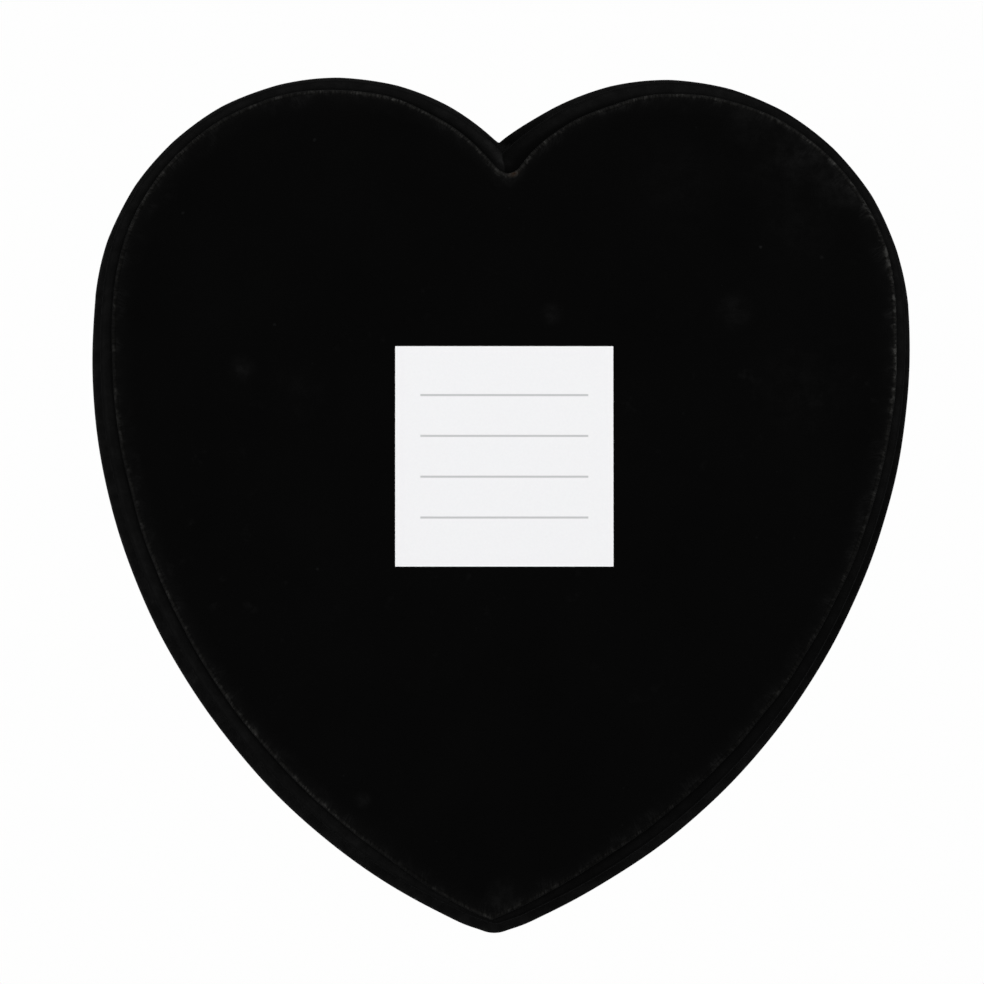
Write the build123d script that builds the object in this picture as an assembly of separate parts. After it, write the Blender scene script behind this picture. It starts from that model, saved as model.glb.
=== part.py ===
from build123d import *
import math
import os

# Heart-shaped velvet jewellery box with a lift-off lid.
#
# Two rigid shells of board, a tray and a lid whose skirt slides down over it, are wrapped in velvet.
# A velvet-wrapped panel is glued under the tray and a padded one on top of the lid.
# Inside, covered dividers and a bank of foam ring rolls stand on the lined floor.
#
# The heart lies in the XY plane with its tip towards -Y and its notch towards +Y.
# The origin is in the middle of its length and width, on the surface the box stands on.
# Every outline is the same heart of tangent arcs, offset from the edge of the tray's floor board.
# Sizes are in millimetres.

# Heart outline, at the edge of the tray's floor board
LOBE_RADIUS = 38.0
LOBE_SPACING = 58.2
SIDE_RADIUS = 105.9
TIP_RADIUS = 0.8
LOBE_TO_TIP = 102.4
SHARP = 0.02  # a corner radius below this is drawn as a plain corner

# Sheet stock and the way it is wrapped
VELVET = 0.6
LINING_PAPER = 0.3
WALL_BOARD = 1.2
LID_WALL_BOARD = 1.0
FLOOR_BOARD = 2.0
LID_TOP_BOARD = 2.0
PANEL_BOARD = 1.5
PAD_BOARD = 1.5
FLOOR_LINING = 1.2
CEILING_LINING = 1.0
GLUE_LINE = 0.1
TURN_IN = 6.0
RIM_TURN_DOWN = 9.0
FOLD_RADIUS = 0.45

# Heights of the shells
TRAY_HEIGHT = 41.0
SKIRT_OVERLAP = 20.0
FOAM_CROWN = 5.0

# Fits between the shells and their panels
LID_CLEARANCE = 0.4
PANEL_INSET = 2.3
PAD_INSET = 2.3

# Insert: dividers and ring rolls
INSERT_GAP = 0.3
DIVIDER_BOARD = 1.2
DIVIDER_HEIGHT = 24.0
BACK_DIVIDER_Y = 12.0
ROLL_COUNT = 4
ROLL_WIDTH = 12.0
ROLL_HEIGHT = 20.0

# Blunt notch of the bottom panel, snipped round and to one side of the heart's own
SNIP_RADIUS = 2.2
SNIP_X = -1.4
SNIP_RISE = 1.55

# Paper label, pressed into the pile of the bottom panel
LABEL_WIDTH = 37.4
LABEL_LENGTH = 37.8
LABEL_THICKNESS = 0.12
LABEL_SINK = 0.08
LABEL_X = -0.5
LABEL_Y = 7.6
LABEL_TURN = -0.7  # degrees off square, as stuck on by hand

# Crown of the lid pad: share of the outline's size at each share of the rise
PAD_SIZE_SHARES = (1.0, 1.0, 0.985, 0.95, 0.88, 0.76, 0.58, 0.35)
PAD_RISE_SHARES = (0.0, 0.22, 0.42, 0.60, 0.77, 0.90, 0.975, 1.0)

# Centres of the outline's arcs; the middle of the heart's length is at y = 0
LOBE = Vector(LOBE_SPACING / 2, (LOBE_TO_TIP + TIP_RADIUS - LOBE_RADIUS) / 2)
TIP = Vector(0, LOBE.Y - LOBE_TO_TIP)
NOTCH = Vector(0, LOBE.Y + math.sqrt(LOBE_RADIUS**2 - LOBE.X**2))

# Offsets of the layers from the floor board's edge, outwards positive
WALL_IN = GLUE_LINE
WALL_OUT = WALL_IN + WALL_BOARD
TRAY_OUT = WALL_OUT + GLUE_LINE + VELVET
LINING_IN = -VELVET
INSERT_OUT = LINING_IN - INSERT_GAP
PANEL_OUT = TRAY_OUT - PANEL_INSET
LID_IN = TRAY_OUT + LID_CLEARANCE
LID_WALL_IN = LID_IN + VELVET + GLUE_LINE
LID_WALL_OUT = LID_WALL_IN + LID_WALL_BOARD
LID_OUT = LID_WALL_OUT + GLUE_LINE + VELVET
PAD_OUT = LID_OUT - PAD_INSET

# Levels, from the underside up
PANEL_TOP = VELVET + PANEL_BOARD
TRAY_BOTTOM = PANEL_TOP + VELVET
FLOOR_BOTTOM = TRAY_BOTTOM + VELVET
FLOOR_TOP = FLOOR_BOTTOM + FLOOR_BOARD
INSERT_FLOOR = FLOOR_TOP + FLOOR_LINING
RIM = TRAY_BOTTOM + TRAY_HEIGHT
RIM_FOLD_BOTTOM = RIM - RIM_TURN_DOWN
SKIRT_BOTTOM = RIM - SKIRT_OVERLAP
SKIRT_FOLD_TOP = SKIRT_BOTTOM + TURN_IN
LID_BOARD_BOTTOM = RIM + CEILING_LINING
LID_BOARD_TOP = LID_BOARD_BOTTOM + LID_TOP_BOARD
PAD_BOTTOM = LID_BOARD_TOP + VELVET
PAD_BOARD_BOTTOM = PAD_BOTTOM + VELVET
FOAM_BOTTOM = PAD_BOARD_BOTTOM + PAD_BOARD

# Layout of the insert
UPWARDS = (Align.CENTER, Align.CENTER, Align.MIN)
FULL_WIDTH = LOBE_SPACING + 2 * LOBE_RADIUS
DIVIDER_WIDTH = DIVIDER_BOARD + 2 * (GLUE_LINE + VELVET)
ROLL_PITCH = ROLL_WIDTH + INSERT_GAP
ROLLS_BACK = BACK_DIVIDER_Y - DIVIDER_WIDTH / 2 - INSERT_GAP


def side_centre():
    """Centre of the right side's arc, which runs into the lobe and the tip with no corner."""
    to_lobe = SIDE_RADIUS - LOBE_RADIUS
    to_tip = SIDE_RADIUS - TIP_RADIUS
    span = (TIP - LOBE).length
    along = (to_lobe**2 - to_tip**2 + span**2) / (2 * span)
    across = math.sqrt(to_lobe**2 - along**2)
    forward = (TIP - LOBE).normalized()
    return LOBE + forward * along + forward.rotate(Axis.Z, -90) * across


SIDE = side_centre()


def direction(start, end):
    """Angle of the line from one point to another, in radians."""
    return math.atan2(end.Y - start.Y, end.X - start.X)


def arc(centre, radius, first, last):
    """Arc about a centre between two angles, in radians."""
    points = [
        centre + Vector(math.cos(angle), math.sin(angle)) * radius
        for angle in (first, (first + last) / 2, last)
    ]
    return ThreePointArc(*points)


def heart(offset):
    """Face of the heart outline, offset outwards by a parallel curve."""
    lobe_radius, side_radius, tip_radius = (
        radius + offset for radius in (LOBE_RADIUS, SIDE_RADIUS, TIP_RADIUS)
    )
    notch_angle = math.pi - math.acos(LOBE.X / max(lobe_radius, LOBE_RADIUS))
    side_angle = direction(SIDE, LOBE)
    rounded_tip = tip_radius > SHARP
    tip_angle = direction(SIDE, TIP) if rounded_tip else -math.acos(-SIDE.X / side_radius)
    right = [
        arc(LOBE, lobe_radius, notch_angle, side_angle),
        arc(SIDE, side_radius, side_angle, tip_angle),
    ]
    outline = right + [mirror(edge, about=Plane.YZ) for edge in right]
    if rounded_tip:
        outline.append(arc(TIP, tip_radius, tip_angle, -math.pi - tip_angle))
    if offset < 0:
        outline.append(arc(NOTCH, -offset, notch_angle - math.pi, -notch_angle))
    return make_face(outline)


def plate(offset, low, high):
    """Heart-shaped sheet between two levels."""
    return extrude(Pos(Z=low) * heart(offset), high - low, dir=(0, 0, 1))


def band(inner, outer, low, high):
    """Closed strip that follows the heart between two offsets and two levels."""
    return plate(outer, low, high) - plate(inner, low, high)


def crown(offset, low, rise):
    """Heart-shaped cushion: flat below, swelling to a rounded top."""
    sections = [
        Pos(Z=low + rise * rise_share) * scale(heart(offset), by=(size_share, size_share, 1))
        for size_share, rise_share in zip(PAD_SIZE_SHARES, PAD_RISE_SHARES)
    ]
    return loft(sections, ruled=True)


def bottom_panel():
    """Board glued under the tray and the velvet folded round it, with the paper label."""

    def snipped(offset, low, high):
        """Heart-shaped sheet with its notch cut out round, parallel to the same cut in the other layers."""
        radius = SNIP_RADIUS + PANEL_OUT - offset
        snip = Cylinder(radius, high - low, align=UPWARDS)
        return plate(offset, low, high) - Pos(SNIP_X, NOTCH.Y + SNIP_RISE, low) * snip

    velvet = snipped(PANEL_OUT, 0, TRAY_BOTTOM)
    velvet = fillet(velvet.edges().group_by(Axis.Z)[0], FOLD_RADIUS)
    velvet -= snipped(PANEL_OUT - VELVET, VELVET, PANEL_TOP)
    velvet -= plate(PANEL_OUT - TURN_IN, PANEL_TOP, TRAY_BOTTOM)
    stuck_on = Pos(LABEL_X, LABEL_Y) * Rot(Z=LABEL_TURN)
    pocket_depth = LABEL_SINK + LABEL_THICKNESS
    velvet -= stuck_on * Box(LABEL_WIDTH, LABEL_LENGTH, pocket_depth, align=UPWARDS)
    label = Box(LABEL_WIDTH, LABEL_LENGTH, LABEL_THICKNESS, align=UPWARDS)
    return {
        "bottom_panel_board": snipped(PANEL_OUT - VELVET - GLUE_LINE, VELVET, PANEL_TOP),
        "bottom_panel_velvet": velvet,
        "paper_label": stuck_on * Pos(Z=LABEL_SINK) * label,
    }


def tray():
    """Floor and wall boards, the velvet wrapped round them and the lining inside."""
    velvet = plate(TRAY_OUT, TRAY_BOTTOM, RIM)
    ends = velvet.edges().group_by(Axis.Z)
    velvet = fillet(ends[0] + ends[-1], FOLD_RADIUS)
    velvet -= plate(LINING_IN, FLOOR_BOTTOM, RIM)
    velvet -= band(LINING_IN, WALL_OUT + GLUE_LINE, FLOOR_BOTTOM, RIM_FOLD_BOTTOM)
    velvet -= band(0, WALL_OUT + GLUE_LINE, RIM_FOLD_BOTTOM, RIM - VELVET)
    velvet -= plate(-TURN_IN, TRAY_BOTTOM, FLOOR_BOTTOM)
    return {
        "tray_floor_board": plate(0, FLOOR_BOTTOM, FLOOR_TOP),
        "tray_wall_board": band(WALL_IN, WALL_OUT, FLOOR_BOTTOM, RIM - VELVET),
        "tray_wall_velvet": velvet,
        "tray_floor_lining": plate(0, FLOOR_TOP, INSERT_FLOOR),
        "tray_wall_lining": band(LINING_IN, 0, INSERT_FLOOR, RIM_FOLD_BOTTOM),
    }


def lid_shell():
    """Wall and top boards of the lid, the velvet wrapped round the wall and the lining inside."""
    velvet = plate(LID_OUT, SKIRT_BOTTOM, PAD_BOTTOM)
    ends = velvet.edges().group_by(Axis.Z)
    velvet = fillet(ends[0] + ends[-1], FOLD_RADIUS)
    velvet -= plate(LID_IN, SKIRT_BOTTOM, LID_BOARD_TOP)
    velvet -= band(LID_IN + VELVET, LID_WALL_OUT + GLUE_LINE, SKIRT_BOTTOM + VELVET, LID_BOARD_TOP)
    velvet -= band(LID_IN, LID_IN + VELVET, SKIRT_FOLD_TOP, LID_BOARD_TOP)
    velvet -= plate(LID_OUT - TURN_IN, LID_BOARD_TOP, PAD_BOTTOM)
    lining_out = LID_WALL_IN - GLUE_LINE
    return {
        "lid_wall_board": band(LID_WALL_IN, LID_WALL_OUT, SKIRT_BOTTOM + VELVET, LID_BOARD_TOP),
        "lid_top_board": plate(LID_WALL_IN - GLUE_LINE, LID_BOARD_BOTTOM, LID_BOARD_TOP),
        "lid_wall_velvet": velvet,
        "lid_wall_lining": band(lining_out - LINING_PAPER, lining_out, SKIRT_FOLD_TOP, RIM),
        "lid_ceiling_lining": plate(lining_out, RIM, LID_BOARD_BOTTOM),
    }


def lid_pad():
    """Padded panel on the lid: a board and a foam crown under one cover of velvet."""
    cover_in = PAD_OUT - VELVET
    velvet = plate(PAD_OUT, PAD_BOTTOM, FOAM_BOTTOM)
    velvet += crown(PAD_OUT, FOAM_BOTTOM, FOAM_CROWN + GLUE_LINE + VELVET)
    velvet -= plate(cover_in, PAD_BOARD_BOTTOM, FOAM_BOTTOM)
    velvet -= crown(cover_in, FOAM_BOTTOM, FOAM_CROWN + GLUE_LINE)
    velvet -= plate(PAD_OUT - TURN_IN, PAD_BOTTOM, PAD_BOARD_BOTTOM)
    return {
        "lid_pad_board": plate(cover_in - GLUE_LINE, PAD_BOARD_BOTTOM, FOAM_BOTTOM),
        "lid_pad_foam": crown(cover_in - GLUE_LINE, FOAM_BOTTOM, FOAM_CROWN),
        "lid_pad_velvet": velvet,
    }


def divider(name, place, length):
    """Board that stands on the lined floor under a cover of velvet, its ends cut to the heart."""

    def standing(width, height):
        block = place * Box(length, width, height, align=UPWARDS)
        return block & plate(INSERT_OUT, INSERT_FLOOR, RIM)

    cover = standing(DIVIDER_WIDTH, DIVIDER_HEIGHT)
    cover -= standing(DIVIDER_WIDTH - 2 * VELVET, DIVIDER_HEIGHT - VELVET)
    return {
        f"{name}_board": standing(DIVIDER_BOARD, DIVIDER_HEIGHT - VELVET - GLUE_LINE),
        f"{name}_velvet": cover,
    }


def ring_roll(name, y):
    """Foam roll with a rounded top under a cover of velvet, its ends cut to the heart."""

    def roll(inset):
        radius = ROLL_WIDTH / 2 - inset
        straight = ROLL_HEIGHT - ROLL_WIDTH / 2
        section = Rectangle(2 * radius, straight, align=(Align.CENTER, Align.MIN))
        section += Pos(Y=straight) * Circle(radius)
        bar = extrude(Plane.YZ * Pos(X=y, Y=INSERT_FLOOR) * section, FULL_WIDTH / 2, both=True)
        return bar & plate(INSERT_OUT, INSERT_FLOOR, RIM)

    return {f"{name}_foam": roll(VELVET + GLUE_LINE), f"{name}_velvet": roll(0) - roll(VELVET)}


def insert():
    """Dividers and ring rolls: two lobes behind, the rolls across the middle, the tip in front."""
    floor = Pos(Z=INSERT_FLOOR)
    notch_start = BACK_DIVIDER_Y + DIVIDER_WIDTH / 2 + INSERT_GAP
    notch_end = LOBE.Y + LOBE_RADIUS
    middle = Pos(Y=(notch_start + notch_end) / 2) * Rot(Z=90)
    front_y = ROLLS_BACK - ROLL_COUNT * ROLL_PITCH - DIVIDER_WIDTH / 2
    nodes = divider("back_divider", floor * Pos(Y=BACK_DIVIDER_Y), FULL_WIDTH)
    nodes |= divider("front_divider", floor * Pos(Y=front_y), FULL_WIDTH)
    nodes |= divider("lobe_divider", floor * middle, notch_end - notch_start)
    for index in range(ROLL_COUNT):
        nodes |= ring_roll(f"ring_roll_{index + 1}", ROLLS_BACK - index * ROLL_PITCH - ROLL_WIDTH / 2)
    return nodes


os.makedirs("parts", exist_ok=True)
for pieces in (bottom_panel(), tray(), insert(), lid_shell(), lid_pad()):
    for node, shape in pieces.items():
        export_step(shape, f"parts/{node}.step")
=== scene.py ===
"""Looks of the heart-shaped velvet box with a lift-off lid.

Each velvet piece is a profile carried round the heart, or across the box, on a grid of two parameters.
The heart is the same run of tangent arcs that the solids follow, and the sizes of its layers are read
from the frame. Lengths are in metres, in the frame's own axes: the tip points to -Y and the box stands
on z = 0.
"""
import math

import bpy
import numpy as np
from mathutils import Matrix, Vector


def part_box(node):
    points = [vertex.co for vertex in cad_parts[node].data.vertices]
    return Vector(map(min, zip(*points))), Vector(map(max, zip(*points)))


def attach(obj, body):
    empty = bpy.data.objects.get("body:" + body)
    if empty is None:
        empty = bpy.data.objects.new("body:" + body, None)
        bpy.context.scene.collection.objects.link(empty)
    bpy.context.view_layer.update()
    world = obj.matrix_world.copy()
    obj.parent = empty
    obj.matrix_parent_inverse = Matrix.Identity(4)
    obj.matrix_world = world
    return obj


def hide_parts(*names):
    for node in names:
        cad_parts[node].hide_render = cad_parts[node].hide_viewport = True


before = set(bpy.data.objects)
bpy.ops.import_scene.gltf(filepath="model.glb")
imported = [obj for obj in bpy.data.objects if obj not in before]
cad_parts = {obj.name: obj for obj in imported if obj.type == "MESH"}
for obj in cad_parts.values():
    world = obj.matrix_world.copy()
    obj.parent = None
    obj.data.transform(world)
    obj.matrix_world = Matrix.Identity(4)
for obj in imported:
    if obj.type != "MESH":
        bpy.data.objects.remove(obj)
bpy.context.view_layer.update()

MM = 0.001

# Heart outline at the edge of the tray's floor board
LOBE_RADIUS = 38.0 * MM
LOBE_X = 29.1 * MM
LOBE_TO_TIP = 102.4 * MM
SIDE_RADIUS = 105.9 * MM
TIP_RADIUS = 0.8 * MM
LOBE_Y = (LOBE_TO_TIP + TIP_RADIUS - LOBE_RADIUS) / 2
TIP_Y = LOBE_Y - LOBE_TO_TIP

# Points of the outline on each half: notch, lobe, side and tip
ARC_POINTS = (14, 130, 190, 26)

# Velvet and the board under it: thickness, fold radius, turned-in edges and softest corners
VELVET = 0.6 * MM
BOARD = 1.0 * MM
FOLD = 0.45 * MM
TRAY_FOLD = 1.0 * MM
TURN_IN = 6.0 * MM
RIM_TURN_DOWN = 9.0 * MM
NOTCH_RADIUS = 0.7 * MM
SOFT_TIP = 0.3 * MM

# Unevenness of hand work: slow waves that the two walls share, ripples of each piece and flats of the lobes
WARP = 0.22 * MM
WARP_WAVES = 6
RIPPLE = 0.05 * MM
RIPPLE_WAVES = 30
FACETS = 9
FACET_SAG = 0.06 * MM

# Corners of the walls: the notch is set over to one side, and the tip is blunt between full cheeks
WALL_NOTCH_RADIUS = 0.2 * MM
NOTCH_SET = 0.85 * MM
NOTCH_SET_SPANS = (14.0 * MM, 6.0 * MM)
TIP_BLUNT = 0.15 * MM
TIP_BLUNT_SPAN = 2.5 * MM
TIP_CHEEK = 0.10 * MM
TIP_CHEEK_RUN = 3.8 * MM
TIP_CHEEK_SPAN = 3.0 * MM
TRAY_NOTCH_SHARE = 0.5
TRAY_ROOM = 0.5 * VELVET

# Seeds of the waves that the walls share, of each piece's ripples and of its wear
WARP_SEED = 2606
TRAY_SEEDS = (3, 4)
LID_SEEDS = (5, 6)
PANEL_SEEDS = (8, 9)
LINT_SEED = 10
CUSHION_SEEDS = (11, 12)
DIVIDER_SEED = 17
ROLL_SEED = 20

# Wear: how far it spreads from a fold of the walls and of the panel, how uneven it is, and how much each has
WALL_WEAR = 0.45 * MM
PANEL_WEAR = 0.38 * MM
WEAR_MEAN = 0.65
WEAR_SWING = 0.2
WEAR_WAVES = 16
WEAR_LIMITS = (0.1, 1.2)
TRAY_WEAR_SHARE = 0.3
LID_WEAR_SHARE = 0.4
CUSHION_WEAR_SHARE = 0.4
CUSHION_WEAR_RISE = 0.3
INSERT_WEAR_SHARE = 0.25
INSERT_WEAR_DEPTH = 1.0 * MM

# Heights above a wall's lowest row over which its underside ends, and its pile comes to stand up
UNDER_FADE = (0.4 * MM, 1.2 * MM)
STANDING_RISE = (1.2 * MM, 4.0 * MM)

# Nap: how much paler than flat pile on the walls and the insert; under the tray, painted light against the
# recess's shade, less on one side and past the notch as painted shade, and more before the notch
WALL_NAP = 0.05
INSERT_NAP = 0.6
TRAY_PAINTED_LIGHT = 1.25
TRAY_SHADE = 0.65
TRAY_SHADE_TURNS = (0.50, 0.73)
TRAY_PAINTED_LIGHT_START = (-0.5 * MM, 0.8 * MM)
TRAY_PAINTED_LIGHT_END = 0.7 * MM
BEFORE_NOTCH_PAINTED_LIGHT = 1.3
BEFORE_NOTCH_SPAN = 5.0 * MM
PAST_NOTCH_SHADE = 1.1
PAST_NOTCH_SPAN = 9.0 * MM

# Painted light under the lid's skirt in the same way, against the tray's shade, less on one side as painted
# shade, more on the lap of its strip, and painted shade past the lap
LID_PAINTED_LIGHT = 2.1
LID_SHADE = 1.0
LID_SHADE_TURNS = (0.64, 0.77)
LAP_PAINTED_LIGHT = 0.9
PAST_LAP_SHADE = 1.9

# Lap where the ends of the lid's velvet strip meet at the notch, cut on a slant
LAP_START = 1.5 * MM
LAP_ON_WALL = 0.6 * MM
LAP_ON_FOLD = 3.9 * MM
LAP_EDGE = 0.35 * MM
LAP_RISE = 0.10 * MM

# Bottom panel: its face just above the label, the shoulder round it, and rows on both and hidden inside
FACE_LEVEL = 0.10 * MM
HALF_WIDTH = 60.0 * MM
SHOULDER_WIDTH = 3.2 * MM
SHOULDER_DROP = 0.30 * MM
PANEL_FOLD = 0.9 * MM
FACE_ROWS = 30
FACE_SHARE = 0.9
SHOULDER_ROWS = 28
SHOULDER_CROWDING = 1.5
HIDDEN_ROWS = 9

# Panel's outline: its blunt notch and its tip drawn over, slack beside the notch and full on one side
PANEL_NOTCH_RADIUS = 2.4 * MM
NOTCH_DRAW = np.array([-0.6, -1.6]) * MM
NOTCH_DRAW_SPAN = 18.0 * MM
TIP_DRAW = np.array([0.8, -1.2]) * MM
TIP_DRAW_SPANS = (13.0 * MM, 20.0 * MM)
PANEL_EASE = 0.15 * MM
PANEL_WAVES = 40
PANEL_BULGE = 0.66 * MM
PANEL_BULGE_TURN = 0.775
PANEL_BULGE_SPAN = 0.11
NOTCH_SLACKS = (0.32 * MM, 0.75 * MM)
NOTCH_SLACK_RUNS = (14.0 * MM, 16.0 * MM)
NOTCH_SLACK_SPANS = (6.5 * MM, 9.5 * MM)

# Line of opened pile along the panel's fold, whose place is given in shares of the fold: its strength all
# round, how much fainter or stronger it is over two stretches, and what it gains at the notch and the tip
FOLD_LINE_IN = 0.4
FOLD_LINE_DOWN = 0.8
FOLD_LINE = 0.935
FAINT_LINE = 0.3825
FAINT_TURNS = (0.45, 0.71)
STRONG_LINE = 0.765
STRONG_TURNS = (0.74, 0.79)
NOTCH_LINE = 2.2
NOTCH_LINE_SPAN = 0.9 * MM
TIP_LINE = 0.9
TIP_LINE_SPAN = 10.0 * MM
# Painted sheen that makes the panel's shoulder paler, and hairs drawn out of the pile there
SHOULDER_PAINTED_SHEEN = 0.45
SHOULDER_FUZZ = 1.6

# Lint caught on that fold: all round, over one stretch and in the notch, next to a spot of bare board
LINT_REACH = 0.5 * MM
LINT_ROUND = 0.09
LINT_STRETCH = 0.42
LINT_TURNS = (0.755, 0.86)
LINT_SOFT = 0.01
LINT_NOTCH = 1.0
LINT_NOTCH_SPAN = 1.8 * MM
BARE_SPOT_RUN = -0.25 * MM
BARE_SPOT_SPANS = (0.5 * MM, 0.17 * MM)

# Insert: its edge, dividers and ring rolls
INSERT_OUT = -0.9 * MM
DIVIDERS = ("back_divider", "front_divider", "lobe_divider")
DIVIDER_STEPS = 60
DIVIDER_ROUND = 1.1 * MM
DIVIDER_SAG = 0.10 * MM
DIVIDER_WAVES = 6
ROLL_COUNT = 4
ROLL_STEPS = 110
ROLL_ROUND = 5.8 * MM
ROLL_TUCK = 1.1 * MM
ROLL_TUCK_SPAN = 2.6 * MM
ROLL_TUCK_SIDES = 0.5
ROLL_RIPPLE = 0.18 * MM
ROLL_WAVES = 24

# Crown of the lid's pad: its form, and its rows, which crowd together at the edge
CROWN_POWER = 4.5
CROWN_SOFTNESS = 0.33
CROWN_START = 0.90
CROWN_ROWS = 65
CROWN_CROWDING = 2.2

# Cloth simulation of the crown: its settings, the most that it moves a point, and how coarse it is
CLOTH_PRESSURE = 4.0
CLOTH_MASS = 0.03
CLOTH_BENDING = 0.05
CLOTH_EASE = 0.008
CLOTH_FRAMES = 20
CLOTH_MOST = 0.9 * MM
CLOTH_ROW_STEP = 3
CLOTH_AROUND = 140

# Camera below the box, a little off square, and the point it is aimed at
CAMERA_PLACE = Vector((10.9, -27.2, -820.0)) * MM
CAMERA_AIM = Vector((1.54, 1.45, 0.0)) * MM
CAMERA_ROLL = math.radians(0.68)
CAMERA_LENS_MM = 175.25
CAMERA_CLIP = (0.05, 20.0)
SENSOR_MM = 36.0

# Black pile that lies flat, as a tone and a sheen, and what it gains where it stands up and is brushed
PILE_TONE = 0.0022
FLAT_SHEEN = 0.01
STANDING_TONE = 1.3
BRUSHED_TONE = 1.5
STANDING_SHEEN = 0.11
GLOW_EVEN = 0.5
GLOW_STROKES = 0.5
BRUSH_DRAW = (1.0, 0.35, 0.6)
HAIR_DRAW = 4.0
TUFT_DEPTH = 0.10 * MM

# Shares of the pile's tone: even, in patches, tufts, and smudge marks with patches of painted light, and in
# fibres that stand up
GRAIN_EVEN = 0.70
GRAIN_PATCHES = 0.45
GRAIN_TUFTS = 0.15
GRAIN_SMUDGES_AND_PAINTED_LIGHT = 0.80
GRAIN_FIBRES = 0.90
FIBRES_EVEN = -0.35

# Shares of the nap, with its painted light, shade and sheen, and of a smudge or patch of painted light that
# are
# even and in streaks, and of wear: even, in hairs and in clumps
NAP_EVEN = 0.70
NAP_STREAKS = 0.80
SMUDGE_EVEN = 0.3
SMUDGE_STREAKS = 1.4
WEAR_EVEN = 0.12
WEAR_HAIRS = 0.36
WEAR_CLUMPS = 0.95

# Colours that show on the velvet: dust and how much of it, its opened ground, tangled lint and bare board
DUST_SHARE = 0.10
DUST_COLOUR = (0.030, 0.032, 0.032)
GROUND_COLOUR = (0.0290, 0.0285, 0.0270)
LINT_COLOUR = (0.050, 0.050, 0.048)
BARE_COLOUR = (0.016, 0.0095, 0.0060)

# Smudges, specks and patches of painted light on the face below: x, y and radius in millimetres, and
# strength.
# The broad ones, most of them toward -X and +Y, are painted light that makes that part of the face paler;
# the small ones are smudge marks and specks.
SMUDGES_AND_PAINTED_LIGHT = [
    (44.7, 22.0, 3.2, 1.1),
    (-8.4, 32.1, 2.6, 1.3),
    (-39.6, 33.0, 4.5, 1.0),
    (23.0, -51.6, 2.0, 1.4),
    (35.0, 18.0, 7.0, 0.35),
    (-50.0, 48.0, 10.0, 0.4),
    (-46.0, 58.0, 9.0, 0.4),
    (-30.0, 55.0, 12.0, 0.3),
    (-52.0, 20.0, 14.0, 0.4),
    (-1.2, -67.5, 4.0, 1.2),
    (-57.0, 54.5, 6.5, 1.0),
    (-51.0, 60.0, 7.0, 1.0),
    (-42.0, 65.0, 6.0, 0.7),
    (-44.1, 44.1, 0.4, 4.5),
    (-54.6, 42.5, 0.5, 3.0),
]

# Label's four plain rules
LABEL_TURN = math.radians(-0.7)
RULE_INK = 0.55
RULE_SOFTNESS = 0.6
RULE_PITCH = 7.0 * MM
RULE_WIDTH = 0.22 * MM
RULE_HALF_LENGTH = 14.5 * MM

# Stage: floor just under the box, distances over which it fades, and the surroundings as seen and as a light
FLOOR_REACH = 6.0
FLOOR_FADE = (0.35, 1.8)
FLOOR_LEVEL = -0.3 * MM
FLOOR_COLOUR = (0.30, 0.30, 0.30)
SURROUND = 0.99
AMBIENT = 0.27

# Lamps: name, place, aim, side and watts
LAMPS = [
    ("lamp_below", (0.02, 0.0, -0.95), (0, 0, 0), 0.5, 4.4),
    ("lamp_below_left", (0.8, 0.3, -0.4), (0, 0, 0), 0.5, 3.0),
    ("lamp_below_right", (-0.8, 0.5, -0.4), (0, 0, 0), 0.5, 4.0),
    ("lamp_above", (-0.7, -0.6, 1.1), (0, 0, 0.03), 0.8, 40.0),
    ("lamp_behind", (0.5, 0.9, 0.7), (0, 0, 0.03), 0.6, 20.0),
    ("lamp_side", (1.0, -0.7, 0.35), (0, 0, 0.03), 0.8, 15.0),
    ("lamp_far_side", (-1.0, 0.7, 0.35), (0, 0, 0.03), 0.8, 12.0),
]


def side_centre():
    """Centre of the right side's arc: it touches the lobe's circle and the tip's circle from outside."""
    lobe, tip = np.array([LOBE_X, LOBE_Y]), np.array([0.0, TIP_Y])
    to_lobe, to_tip = SIDE_RADIUS - LOBE_RADIUS, SIDE_RADIUS - TIP_RADIUS
    span = np.linalg.norm(tip - lobe)
    forward = (tip - lobe) / span
    along = (to_lobe**2 - to_tip**2 + span**2) / (2 * span)
    sideways = np.array([forward[1], -forward[0]])
    return lobe + forward * along + sideways * math.sqrt(to_lobe**2 - along**2)


SIDE_X, SIDE_Y = side_centre()


def arc_points(x, y, radius, first, last, share):
    """Points at shares of the way round an arc: centre plus radius times (cos, sin) of the angle between."""
    angle = first + (last - first) * share
    return np.stack([x + radius * np.cos(angle), y + radius * np.sin(angle)], -1)


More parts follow.
